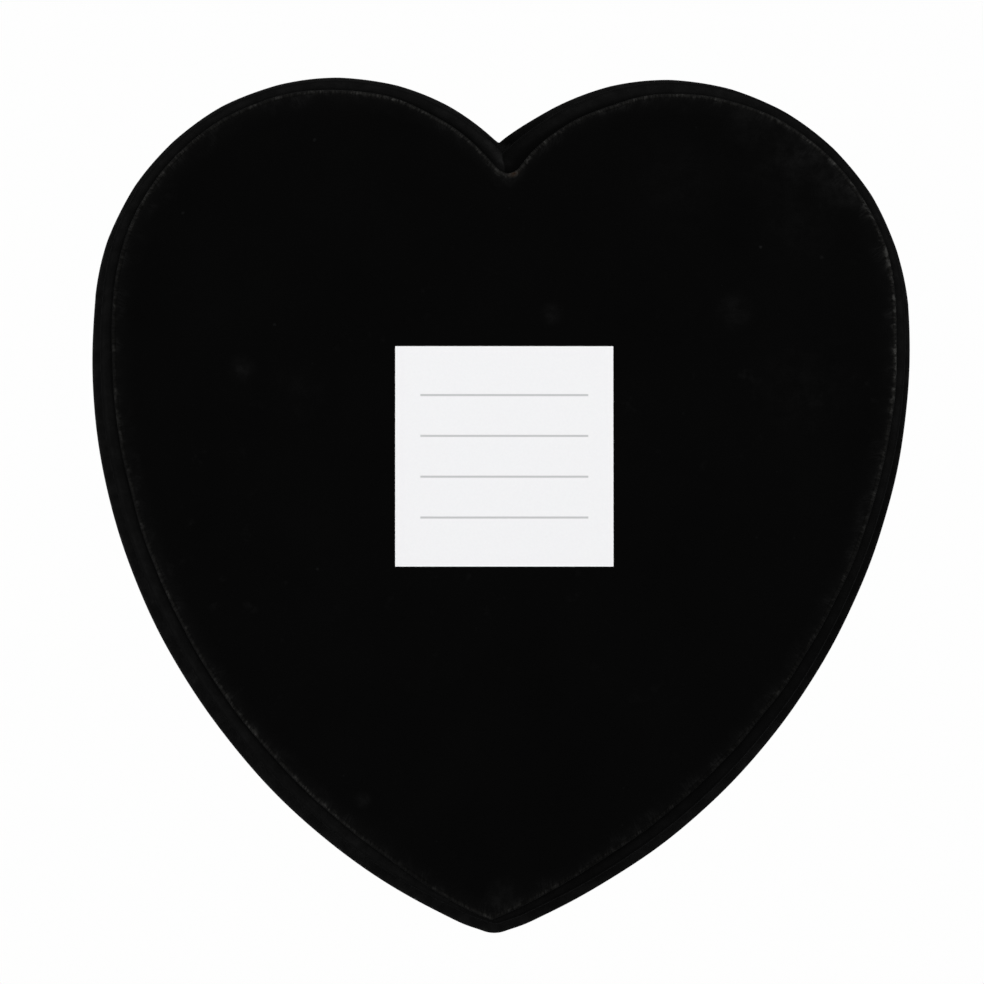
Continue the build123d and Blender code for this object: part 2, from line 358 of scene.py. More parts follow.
def heart(offset, notch_radius=NOTCH_RADIUS):
    """Closed heart outlines, one row for each offset: (rows, points, 2).

    The right half runs from the notch to the tip over four arcs whose radii grow with the offset: a small
    round in the notch, the lobe, the side and the tip. The left half is its mirror image, run backwards.
    """
    offset = np.atleast_1d(np.asarray(offset, float))[:, None]
    lobe, side, tip = LOBE_RADIUS + offset, SIDE_RADIUS + offset, np.maximum(TIP_RADIUS + offset, SOFT_TIP)
    notch = notch_radius + np.maximum(0.0, -offset)
    notch_y = LOBE_Y + np.sqrt((lobe + notch) ** 2 - LOBE_X**2)
    notch_end = np.arctan2(LOBE_Y - notch_y, LOBE_X)
    side_start = math.atan2(LOBE_Y - SIDE_Y, LOBE_X - SIDE_X)
    tip_y = SIDE_Y - np.sqrt((side - tip) ** 2 - SIDE_X**2)
    side_end = np.arctan2(tip_y - SIDE_Y, -SIDE_X)
    steps = [(np.arange(count) / count)[None, :] for count in ARC_POINTS]
    steps[-1] = np.linspace(0, 1, ARC_POINTS[-1] + 1)[None, :]
    right = np.concatenate([
        arc_points(0.0, notch_y, notch, -math.pi / 2, notch_end, steps[0]),
        arc_points(LOBE_X, LOBE_Y, lobe, notch_end + math.pi, side_start, steps[1]),
        arc_points(SIDE_X, SIDE_Y, side, side_start, side_end, steps[2]),
        arc_points(0.0, tip_y, tip, side_end, -math.pi / 2, steps[3]),
    ], axis=1)
    left = right[:, -2:0:-1] * np.array([-1.0, 1.0])
    return np.concatenate([right, left], axis=1)


OUTLINE = heart(0.0)[0]
STEP = np.linalg.norm(np.roll(OUTLINE, -1, 0) - OUTLINE, axis=1)
RUN = np.concatenate([[0.0], np.cumsum(STEP)[:-1]])
ROUND = STEP.sum()
TURN = RUN / ROUND
FROM_NOTCH = np.where(TURN < 0.5, RUN, RUN - ROUND)
FROM_TIP = RUN - ROUND / 2


def outward():
    """Unit normal of the outline at each point: the chord between its neighbours, turned a quarter."""
    chord = np.roll(OUTLINE, -1, 0) - np.roll(OUTLINE, 1, 0)
    normal = np.stack([-chord[:, 1], chord[:, 0]], -1)
    return normal / np.linalg.norm(normal, axis=1, keepdims=True)


NORMAL = outward()


def smooth(start, end, x):
    """Smooth step from 0 at start to 1 at end."""
    t = np.clip((x - start) / (end - start), 0, 1)
    return t * t * (3 - 2 * t)


def bell(x, width):
    """Bell curve: 1 at zero, falling off over a width."""
    return np.exp(-((x / width) ** 2))


def peak(x, width):
    """Sharp peak: 1 at zero, falling ever more slowly to nothing at a width."""
    return np.clip(1 - np.abs(x) / width, 0, 1) ** 2


def waves(seed, count, x):
    """Sum of sines of falling height along x, which runs from 0 to 1 and closes on itself."""
    rng = np.random.default_rng(seed)
    turns = np.arange(1, count + 1)
    phase = rng.uniform(0, 2 * math.pi, count)
    height = rng.normal(0, 1, count) / np.sqrt(turns)
    total = (height * np.sin(2 * math.pi * np.asarray(x)[..., None] * turns + phase)).sum(-1)
    return total / 2.0


def board_bends():
    """How far the bent wall leaves its smooth outline: flats along each lobe.

    Each flat is a parabola, in at its middle and out where two flats meet, whose mean is zero.
    """
    first = ARC_POINTS[0]
    lobe = slice(first, first + ARC_POINTS[1])
    share = np.zeros(len(OUTLINE))
    share[lobe] = np.arange(ARC_POINTS[1]) / ARC_POINTS[1]
    share[-first - ARC_POINTS[1] + 1:-first + 1] = share[lobe][::-1]
    across = 2 * np.mod(share * FACETS, 1.0) - 1
    return np.where(share > 0, FACET_SAG * (across**2 - 1 / 3), 0.0)


def lap(width):
    """Where the end of a wall's velvet lies over its start: 1 from just before the notch to a width past it.

    The width is one number for each row of the profile, so that the end is cut on a slant.
    """
    past = -FROM_NOTCH[None, :]
    end = np.asarray(width)[:, None]
    return smooth(-LAP_START, 0.0, past) * (1 - smooth(end - LAP_EDGE, end, past))


def edge(node):
    """Offset of a node's outer face from the floor board's edge."""
    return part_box(node)[1].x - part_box("tray_floor_board")[1].x


def low(node):
    """Level of a node's lowest point."""
    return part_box(node)[0].z


def high(node):
    """Level of a node's highest point."""
    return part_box(node)[1].z


def line(start, end, count):
    """Points from start towards end, without the end."""
    share = (np.arange(count) / count)[:, None]
    return np.asarray(start) * (1 - share) + np.asarray(end) * share


def bend(x, z, radius, first, last, count=7):
    """Points round a fold from one angle towards another, in degrees, without the last."""
    angle = np.radians(first + (last - first) * np.arange(count) / count)
    return np.stack([x + radius * np.cos(angle), z + radius * np.sin(angle)], -1)


def grid_faces(rows, around, closed):
    """Quads of a grid that joins round each row, and round the rows too where it is closed."""
    index = np.arange(rows * around).reshape(rows, around)
    below = index if closed else index[:-1]
    above = np.roll(index, -1, 0) if closed else index[1:]
    return np.stack([below, np.roll(below, -1, 1), np.roll(above, -1, 1), above], -1).reshape(-1, 4)


def pole_faces(ring, pole):
    """Triangles from a ring of points to the point that closes it."""
    return np.stack([ring, np.roll(ring, -1), np.full_like(ring, pole)], -1)


def velvet_piece(name, points, material, body, nodes, poles=False, **marks):
    """Closed mesh from a grid of points (rows, round, 3), joined round each row.

    The rows join in a ring, or with poles the first and last row each shrink to one point.
    The faces are turned so that the signed volume is positive, which makes them point outwards.
    Each mark is a number for every point of the grid, kept as an attribute that the material reads.
    """
    rows, around = points.shape[:2]
    quads, triangles = grid_faces(rows, around, not poles), np.empty((0, 3), int)
    vertices = points.reshape(-1, 3)
    if poles:
        vertices = np.concatenate([vertices, points[:1].mean(1), points[-1:].mean(1)])
        first, last = np.arange(around), np.arange((rows - 1) * around, rows * around)
        triangles = np.concatenate([
            pole_faces(first[::-1], len(vertices) - 2),
            pole_faces(last, len(vertices) - 1),
        ])
    sides = [quads[:, [0, 1, 2]], quads[:, [0, 2, 3]], triangles]
    corner = vertices[np.concatenate(sides)]
    if np.einsum("ij,ij->", corner[:, 0], np.cross(corner[:, 1], corner[:, 2])) < 0:
        quads, triangles = quads[:, ::-1], triangles[:, ::-1]
    mesh = bpy.data.meshes.new(name)
    mesh.from_pydata(vertices.tolist(), [], quads.tolist() + triangles.tolist())
    mesh.polygons.foreach_set("use_smooth", np.ones(len(mesh.polygons), bool))
    for mark, amount in marks.items():
        flat = np.broadcast_to(amount, (rows, around)).reshape(-1)
        ends = [flat[:around].mean(), flat[-around:].mean()] if poles else []
        layer = mesh.attributes.new(mark, "FLOAT", "POINT")
        layer.data.foreach_set("value", np.concatenate([flat, ends]).astype(np.float32))
    mesh.materials.append(material)
    piece = bpy.data.objects.new(name, mesh)
    bpy.context.scene.collection.objects.link(piece)
    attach(piece, body)
    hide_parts(*nodes)
    return piece


class Value:
    """A shader socket that takes part in Python arithmetic; each operation adds one Math node."""

    def __init__(self, nodes, socket):
        self.nodes = nodes
        self.socket = socket

    def __add__(self, other):
        return self.nodes.math("ADD", self, other)

    def __rsub__(self, other):
        return self.nodes.math("SUBTRACT", other, self)

    def __mul__(self, other):
        return self.nodes.math("MULTIPLY", self, other)

    __radd__ = __add__
    __rmul__ = __mul__

    def size(self):
        """This value without its sign."""
        return self.nodes.math("ABSOLUTE", self, 0.0)

    def between(self, start, end):
        """Smooth step of this value: 0 at start and 1 at end, which may lie below start."""
        limits = {"Value": self, "From Min": start, "From Max": end}
        return self.nodes.node("ShaderNodeMapRange", {"interpolation_type": "SMOOTHSTEP"}, limits)["Result"]


class Nodes:
    """A node tree and the ways to add to it."""

    def __init__(self, tree):
        self.tree = tree

    def feed(self, node, sockets):
        """Links a value to each named socket, or sets the socket where it is a plain number or colour."""
        for key, value in sockets.items():
            socket = node.inputs[key]
            if isinstance(value, Value):
                self.tree.links.new(value.socket, socket)
            elif socket.type == "RGBA":
                socket.default_value = (*value, 1.0)
            else:
                socket.default_value = value

    def node(self, kind, settings, sockets):
        """Adds a node of any type; returns its outputs by name, and by number where names repeat."""
        made = self.tree.nodes.new(kind)
        for key, value in settings.items():
            setattr(made, key, value)
        self.feed(made, sockets)
        outputs = {number: Value(self, socket) for number, socket in enumerate(made.outputs)}
        outputs.update({socket.name: Value(self, socket) for socket in reversed(made.outputs)})
        return outputs

    def math(self, operation, first, second):
        """One Math node on two values."""
        return self.node("ShaderNodeMath", {"operation": operation}, {0: first, 1: second})["Value"]


class Finish(Nodes):
    """One material: a Principled shader with constant settings, and the nodes that feed it."""

    def __init__(self, name, constants):
        self.material = bpy.data.materials.new(name)
        self.material.use_nodes = True
        super().__init__(self.material.node_tree)
        self.tree.nodes.clear()
        self.shader = self.tree.nodes.new("ShaderNodeBsdfPrincipled")
        self.output = self.tree.nodes.new("ShaderNodeOutputMaterial")
        self.tree.links.new(self.shader.outputs["BSDF"], self.output.inputs["Surface"])
        self.feed(self.shader, constants)

    def place(self):
        """Position on the piece, in metres."""
        return self.node("ShaderNodeTexCoord", {}, {})["Object"]

    def noise(self, size, detail=2.0, roughness=0.5, place=None):
        """Noise from 0 to 1 with features of a given size in metres."""
        sockets = {"Vector": place or self.place(), "Scale": 1 / size, "Detail": detail}
        return self.node("ShaderNodeTexNoise", {}, {**sockets, "Roughness": roughness})["Fac"]

    def drawn_out(self, scale):
        """Position on the piece with each direction scaled, which draws a pattern out the other way."""
        factors = {0: self.place(), 1: scale}
        return self.node("ShaderNodeVectorMath", {"operation": "MULTIPLY"}, factors)["Vector"]

    def along_fold(self, stretched):
        """Place along a fold and across it, from a piece's own marks, drawn out across the fold."""
        across = self.mark("across") * (1 / stretched)
        return self.node("ShaderNodeCombineXYZ", {}, {"X": self.mark("along"), "Y": across})["Vector"]

    def away(self, x, y):
        """Distance from a place on the face below."""
        places = {0: self.place(), 1: (x, y, 0.0)}
        return self.node("ShaderNodeVectorMath", {"operation": "DISTANCE"}, places)["Value"]

    def mark(self, name):
        """A piece's own attribute; 0 on a piece that has none of that name."""
        return self.node("ShaderNodeAttribute", {"attribute_name": name}, {})["Fac"]

    def mix(self, share, first, second):
        """Colour between two colours by a share from 0 to 1."""
        return self.node("ShaderNodeMix", {"data_type": "RGBA"}, {0: share, 6: first, 7: second})[2]

    def grey(self, tone):
        """Neutral colour of a worked-out tone."""
        return self.node("ShaderNodeCombineColor", {}, {"Red": tone, "Green": tone, "Blue": tone})["Color"]

    def bump(self, height, depth):
        """Normal from a height between 0 and 1 that stands for a depth in metres."""
        return self.node("ShaderNodeBump", {}, {"Height": height, "Distance": depth})["Normal"]

    def blend(self, share, sockets):
        """Lays a second Principled shader over the first by a share from 0 to 1."""
        first = Value(self, self.shader.outputs["BSDF"])
        second = self.node("ShaderNodeBsdfPrincipled", {}, sockets)["BSDF"]
        self.cover(share, first, second)

    def cover(self, share, first, second):
        """Shows the first shader, and the second in its place by a share from 0 to 1."""
        mixed = self.node("ShaderNodeMixShader", {}, {0: share, 1: first, 2: second})["Shader"]
        self.feed(self.output, {"Surface": mixed})

    def done(self, **sockets):
        """Feeds the shader and returns the material; an underscore in a socket's name stands for a space."""
        self.feed(self.shader, {name.replace("_", " "): value for name, value in sockets.items()})
        return self.material


def black_velvet(name, touched_and_painted_light=(), brushed=False):
    """Short black pile: brushed patches, fine tufts and dust; its ground shows paler where a fold opens it.

    The nap mark lightens or darkens the pile: it is the pile's own tone on the walls and the insert, painted
    light and shade under the tray and the lid, and painted sheen on the panel's shoulder. The wear mark opens
    the pile, the fuzz mark draws hairs out of it, the lint mark tangles them and the bare mark shows the
    board.
    Where the standing mark is 1, or all over a brushed finish, the pile stands up: brushing leaves strokes in
    it that catch more light, and it glows at a slant. Each listed place (x, y, radius, strength) on the face
    below is a soft pale spot: a small one is a smudge or speck, and a broad one is painted light.
    """
    pile = {"Roughness": 0.95, "Specular IOR Level": 0.0, "Sheen Roughness": 0.33}
    pile["Sheen Tint"] = (0.80, 0.82, 0.85)
    finish = Finish(name, {**pile, "Sheen Weight": FLAT_SHEEN})
    patches = finish.noise(22 * MM, 4.0, 0.6)
    tufts = finish.noise(0.30 * MM, 2.0)
    smudges_and_painted_light = finish.noise(5 * MM, 3.0, 0.7).between(0.60, 0.78)
    smudges_and_painted_light = smudges_and_painted_light * finish.noise(34 * MM, 0.0).between(0.45, 0.70)
    streaks = finish.noise(3 * MM, 4.0, 0.7).between(0.35, 0.75)
    # Each listed place adds a soft pale spot: a smudge mark, or painted light where it is broad
    for x, y, radius, strength in touched_and_painted_light:
        pale_spot = strength * finish.away(x * MM, y * MM).between(radius * MM, 0.0)
        smudges_and_painted_light = smudges_and_painted_light + pale_spot * (SMUDGE_EVEN + SMUDGE_STREAKS * streaks)
    dust = finish.noise(1.6 * MM, 0.0).between(0.86, 0.93)
    hairs = finish.noise(0.35 * MM, 2.0, 0.6, finish.along_fold(HAIR_DRAW)).between(0.35, 0.70)
    clumps = finish.noise(1.5 * MM, 3.0, 0.7).between(0.47, 0.70)
    tangles = finish.noise(1.5 * MM, 2.0, 0.6).between(0.52, 0.64)
    wear = finish.mark("wear") * (WEAR_EVEN + WEAR_HAIRS * hairs + WEAR_CLUMPS * clumps * hairs)
    wisps = finish.mark("fuzz") * hairs * finish.noise(3.5 * MM, 1.0).between(0.48, 0.70)
    standing = 1.0 if brushed else finish.mark("standing")
    strokes = finish.noise(10 * MM, 3.0, 0.5, finish.drawn_out(BRUSH_DRAW)).between(0.28, 0.72)
    raised = standing * (STANDING_TONE + BRUSHED_TONE * strokes)
    fibres = finish.noise(0.8 * MM, 3.0, 0.7).between(0.30, 0.70)
    grain = GRAIN_EVEN + GRAIN_PATCHES * patches + GRAIN_TUFTS * tufts + GRAIN_SMUDGES_AND_PAINTED_LIGHT * smudges_and_painted_light
    grain = grain + standing * (GRAIN_FIBRES * fibres + FIBRES_EVEN)
    # Nap: the pile's own tone, with painted light and shade under the tray and the lid and painted sheen on
    # the panel's shoulder
    nap = finish.mark("nap") * (NAP_EVEN + NAP_STREAKS * streaks)
    pile_colour = finish.grey(PILE_TONE * (1 + nap + wisps + raised) * grain)
    dusty = finish.mix(DUST_SHARE * dust, pile_colour, DUST_COLOUR)
    opened = finish.mix(wear, dusty, GROUND_COLOUR)
    linty = finish.mix(finish.mark("lint") * tangles, opened, LINT_COLOUR)
    colour = finish.mix(finish.mark("bare"), linty, BARE_COLOUR)
    normal = finish.bump(tufts, TUFT_DEPTH)
    glowing = {**pile, "Sheen Weight": STANDING_SHEEN, "Base Color": colour, "Normal": normal}
    finish.blend(standing * (GLOW_EVEN + GLOW_STROKES * strokes), glowing)
    return finish.done(Base_Color=colour, Normal=normal)


def grey_board():
    """Solid grey-brown board: pressed fibres and darker flecks."""
    dark, pale, fleck = (0.24, 0.20, 0.155), (0.42, 0.36, 0.29), (0.10, 0.08, 0.06)
    finish = Finish("grey_board_fibre", {"Roughness": 0.9, "Specular IOR Level": 0.2})
    fibres = finish.noise(0.9 * MM, 4.0, 0.65)
    flecks = finish.noise(0.6 * MM, 1.0).between(0.68, 0.75)
    colour = finish.mix(0.6 * flecks, finish.mix(fibres, dark, pale), fleck)
    return finish.done(Base_Color=colour, Normal=finish.bump(fibres, 0.08 * MM))


def lining_paper():
    """Black uncoated paper: a faint tooth that is paler where it stands out."""
    tone, paler = 0.018, 0.020
    finish = Finish("black_paper_tooth", {"Roughness": 0.8, "Specular IOR Level": 0.3})
    tooth = finish.noise(0.35 * MM, 3.0)
    colour = finish.grey(tone + paler * tooth.between(0.3, 0.8))
    return finish.done(Base_Color=colour, Normal=finish.bump(tooth, 0.03 * MM))


def label_paper():
    """White label paper with a faint tooth and four plain grey rules to write on, square to its edges."""
    white, brightest, grey = (0.86, 0.86, 0.875), (0.91, 0.91, 0.92), (0.25, 0.25, 0.26)
    finish = Finish("white_label_paper", {"Roughness": 0.6, "Specular IOR Level": 0.3})
    lowest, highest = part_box("paper_label")
    square = finish.node("ShaderNodeMapping", {"vector_type": "TEXTURE"}, {
        "Vector": finish.place(),
        "Location": (lowest + highest) / 2,
        "Rotation": (0.0, 0.0, LABEL_TURN),
    })["Vector"]
    split = finish.node("ShaderNodeSeparateXYZ", {}, {"Vector": square})
    across, along = split["X"], split["Y"]
    from_rule = finish.math("PINGPONG", along, RULE_PITCH / 2)
    ink = (RULE_PITCH / 2 - from_rule).between(RULE_WIDTH, RULE_SOFTNESS * RULE_WIDTH)
    ink = ink * across.size().between(RULE_HALF_LENGTH, RULE_HALF_LENGTH - RULE_WIDTH)
    ink = ink * along.size().between(2 * RULE_PITCH, 2 * RULE_PITCH - RULE_WIDTH)
    tooth = finish.noise(0.4 * MM, 3.0)
    colour = finish.mix(RULE_INK * ink, finish.mix(tooth, white, brightest), grey)
    return finish.done(Base_Color=colour, Normal=finish.bump(tooth, 0.01 * MM))


PILE = black_velvet("black_velvet_pile")
FACE_PILE = black_velvet("black_velvet_handled_pile_with_painted_light", SMUDGES_AND_PAINTED_LIGHT)
FLOOR_PILE = black_velvet("black_velvet_floor_pile", brushed=True)
BOARD_FINISH = grey_board()
PAPER_FINISH = lining_paper()
LABEL_FINISH = label_paper()


def carried(profile, notch_radius=NOTCH_RADIUS, shift=0.0, sizes=1.0, draw=0.0):
    """Profile of (offset, level) rows carried round the heart, with an added shift of each point's offset.

    A draw moves the outline's points in the plane. A row's size then shrinks its outline about the middle
    of the heart, so that a face can close at a pole.
    """
    flat = heart(profile[:, 0], notch_radius) + np.asarray(shift)[..., None] * NORMAL + draw
    flat = flat * np.broadcast_to(sizes, len(profile))[:, None, None]
    level = np.broadcast_to(profile[:, 1][:, None, None], (*flat.shape[:2], 1))
    return np.concatenate([flat, level], axis=-1)


def stretch(start, end, soft=0.03):
    """1 between two turns of the way round, falling off softly past each."""
    return smooth(start - soft, start + soft, TURN) * (1 - smooth(end - soft, end + soft, TURN))


def ridge_wear(profile, ridges, reach, seed, sizes=1.0):
    """Wear of each point: strongest on the ridges (offset, level) of a profile, uneven on the way round.

    A row shrunk to a size lies further in by its share of the half width.
    """
    inwards = (1 - sizes) * HALF_WIDTH * np.ones(len(profile))
    place = profile - np.stack([inwards, np.zeros(len(profile))], -1)
    away = np.linalg.norm(place[:, None] - np.asarray(ridges)[None], axis=-1).min(1)
    strength = np.clip(WEAR_MEAN + WEAR_SWING * waves(seed, WEAR_WAVES, TURN), *WEAR_LIMITS)
    return bell(away, reach)[:, None] * strength[None]


def wall_shift(profile, board, seed, most):
    """Unevenness of a wrapped wall along its normal: flats, waves, ripples and a blunt tip with full cheeks.

    It dies out at the notch, and stays between the board under the velvet and the most there is room for.
    """
    shift = board_bends() + WARP * waves(WARP_SEED, WARP_WAVES, TURN)
    shift = shift + RIPPLE * waves(seed, RIPPLE_WAVES, TURN)
    shift = shift * (1 - bell(FROM_NOTCH, NOTCH_SET_SPANS[0])) - TIP_BLUNT * bell(FROM_TIP, TIP_BLUNT_SPAN)
    shift = shift + TIP_CHEEK * bell(np.abs(FROM_TIP) - TIP_CHEEK_RUN, TIP_CHEEK_SPAN)
    return outside(profile, board) * np.clip(shift, -VELVET, most)[None]


def outside(profile, board):
    """Share of a wall's unevenness that each row takes: none inside the board and all of it outside."""
    return smooth(edge(board) - BOARD, edge(board), profile[:, 0])[:, None]


def notch_set(profile, board, share):
    """A share of the notch's set to +X, dying out further along the +X lobe than along the other."""
    span = np.where(FROM_NOTCH > 0, *NOTCH_SET_SPANS)
    amount = outside(profile, board) * share * NOTCH_SET * bell(FROM_NOTCH, span)
    return amount[..., None] * np.array([1.0, 0.0])


def climbed(profile, start, end):
    """Smooth step of each row's height above the lowest one: 0 up to start and 1 from end on."""
    return smooth(start, end, profile[:, 1] - profile[:, 1].min())[:, None]


def wall_piece(body, profile, points, wear, below):
    """Wrapped wall of a body: its pile stands up on the wall, and painted light and shade change its tone
    underneath.
    """
    nap = WALL_NAP + (1 - climbed(profile, *UNDER_FADE)) * below
    marks = {"wear": wear, "nap": nap, "standing": climbed(profile, *STANDING_RISE), "along": RUN[None]}
    return velvet_piece(f"{body}_wrap", points, PILE, body, [f"{body}_wall_velvet"], **marks)


def tray_wrap():
    """Velvet strip round the tray's wall: turned under the floor, up the wall, over the rim and down inside.

    Below, painted light makes the pile paler from the fold inwards to the ring, against the shade of the
    recess;
    painted shade darkens it on one side and past the notch, and painted light makes it paler before the
    notch.
    """
    out, bottom, rim = edge("tray_wall_velvet"), low("tray_wall_velvet"), high("tray_wall_velvet")
    inside, back = -VELVET, edge("tray_wall_board")
    profile = np.concatenate([
        line((-TURN_IN, bottom), (out - TRAY_FOLD, bottom), 16),
        bend(out - TRAY_FOLD, bottom + TRAY_FOLD, TRAY_FOLD, -90, 0, 12),
        line((out, bottom + TRAY_FOLD), (out, rim - FOLD), 16),
        bend(out - FOLD, rim - FOLD, FOLD, 0, 90),
        line((out - FOLD, rim), (inside + FOLD, rim), 4),
        bend(inside + FOLD, rim - FOLD, FOLD, 90, 180),
        line((inside, rim - FOLD), (inside, rim - RIM_TURN_DOWN), 6),
        line((inside, rim - RIM_TURN_DOWN), (0, rim - RIM_TURN_DOWN), 2),
        line((0, rim - RIM_TURN_DOWN), (0, rim - VELVET), 4),
        line((0, rim - VELVET), (back, rim - VELVET), 2),
        line((back, rim - VELVET), (back, bottom + VELVET), 8),
        line((back, bottom + VELVET), (-TURN_IN, bottom + VELVET), 4),
    ])
    ripple_seed, wear_seed = TRAY_SEEDS
    shift = wall_shift(profile, "tray_wall_board", ripple_seed, TRAY_ROOM)
    draw = notch_set(profile, "tray_wall_board", TRAY_NOTCH_SHARE)
    points = carried(profile, WALL_NOTCH_RADIUS, shift, draw=draw)
    wear = TRAY_WEAR_SHARE * ridge_wear(profile, [(out, rim), (inside, rim)], WALL_WEAR, wear_seed)
    offset = profile[:, :1]
    # Painted light under the tray against the shade of the recess, from next to the panel out to just short
    # of the outer fold: less on one side and past the notch as painted shade, and more before the notch
    outer = smooth(*TRAY_PAINTED_LIGHT_START, offset) * (1 - smooth(out - TRAY_PAINTED_LIGHT_END, out, offset))
    before = smooth(-LAP_EDGE, LAP_EDGE, FROM_NOTCH) * bell(FROM_NOTCH, BEFORE_NOTCH_SPAN)
    past = smooth(-LAP_EDGE, LAP_EDGE, -FROM_NOTCH) * bell(FROM_NOTCH, PAST_NOTCH_SPAN)
    brushed = TRAY_PAINTED_LIGHT - TRAY_SHADE * stretch(*TRAY_SHADE_TURNS) - PAST_NOTCH_SHADE * past
    return wall_piece("tray", profile, points, wear, outer * brushed + BEFORE_NOTCH_PAINTED_LIGHT * before)


def lid_wrap():
    """Velvet strip round the lid's skirt: turned in below, up the wall and over the top edge.

    Below, the end of the strip is cut on a slant: it laps further on the inside of the fold than on the wall.
    """
    out, bottom, top = edge("lid_wall_velvet"), low("lid_wall_velvet"), high("lid_wall_velvet")
    back = edge("lid_wall_board")
    inside = edge("lid_wall_lining") - VELVET
    profile = np.concatenate([
        line((inside, bottom + TURN_IN), (inside, bottom + FOLD), 4),
        bend(inside + FOLD, bottom + FOLD, FOLD, 180, 270),
        line((inside + FOLD, bottom), (out - FOLD, bottom), 8),
        bend(out - FOLD, bottom + FOLD, FOLD, -90, 0),
        line((out, bottom + FOLD), (out, top - FOLD), 14),
        bend(out - FOLD, top - FOLD, FOLD, 0, 90),
        line((out - FOLD, top), (out - TURN_IN, top), 8),
        line((out - TURN_IN, top), (out - TURN_IN, top - VELVET), 2),
        line((out - TURN_IN, top - VELVET), (back, top - VELVET), 4),
        line((back, top - VELVET), (back, bottom + VELVET), 6),
        line((back, bottom + VELVET), (inside + VELVET, bottom + VELVET), 2),
        line((inside + VELVET, bottom + VELVET), (inside + VELVET, bottom + TURN_IN), 3),
    ])
    inwards = np.clip((out - profile[:, 0]) / (out - inside), 0, 1)
    laps = lap(LAP_ON_WALL + (LAP_ON_FOLD - LAP_ON_WALL) * inwards)
    ripple_seed, wear_seed = LID_SEEDS
    shift = wall_shift(profile, "lid_wall_board", ripple_seed, VELVET) + LAP_RISE * laps
    draw = notch_set(profile, "lid_wall_board", 1.0)
    points = carried(profile, WALL_NOTCH_RADIUS, shift, draw=draw)
    ridges = [(out, bottom), (inside, bottom), (out, top)]
    wear = LID_WEAR_SHARE * ridge_wear(profile, ridges, WALL_WEAR, wear_seed)
    # Painted light under the skirt, which the tray half shades: less on one side as painted shade, more on
    # the lap, and painted shade past the lap
    beyond = smooth(0.0, LAP_START, -FROM_NOTCH) * bell(FROM_NOTCH, PAST_NOTCH_SPAN)
    below = LID_PAINTED_LIGHT - LID_SHADE * stretch(*LID_SHADE_TURNS) + LAP_PAINTED_LIGHT * laps
    return wall_piece("lid", profile, points, wear, below - PAST_LAP_SHADE * (1 - laps) * beyond)


def notch_slack():
    """How far the panel's edge stays in on each side of the notch, where its velvet is pulled straight."""
    sides = (NOTCH_SLACKS, NOTCH_SLACK_RUNS, NOTCH_SLACK_SPANS)
    slack, run, span = (np.where(FROM_NOTCH > 0, *pair) for pair in sides)
    return slack * bell(np.abs(FROM_NOTCH) - run, span)


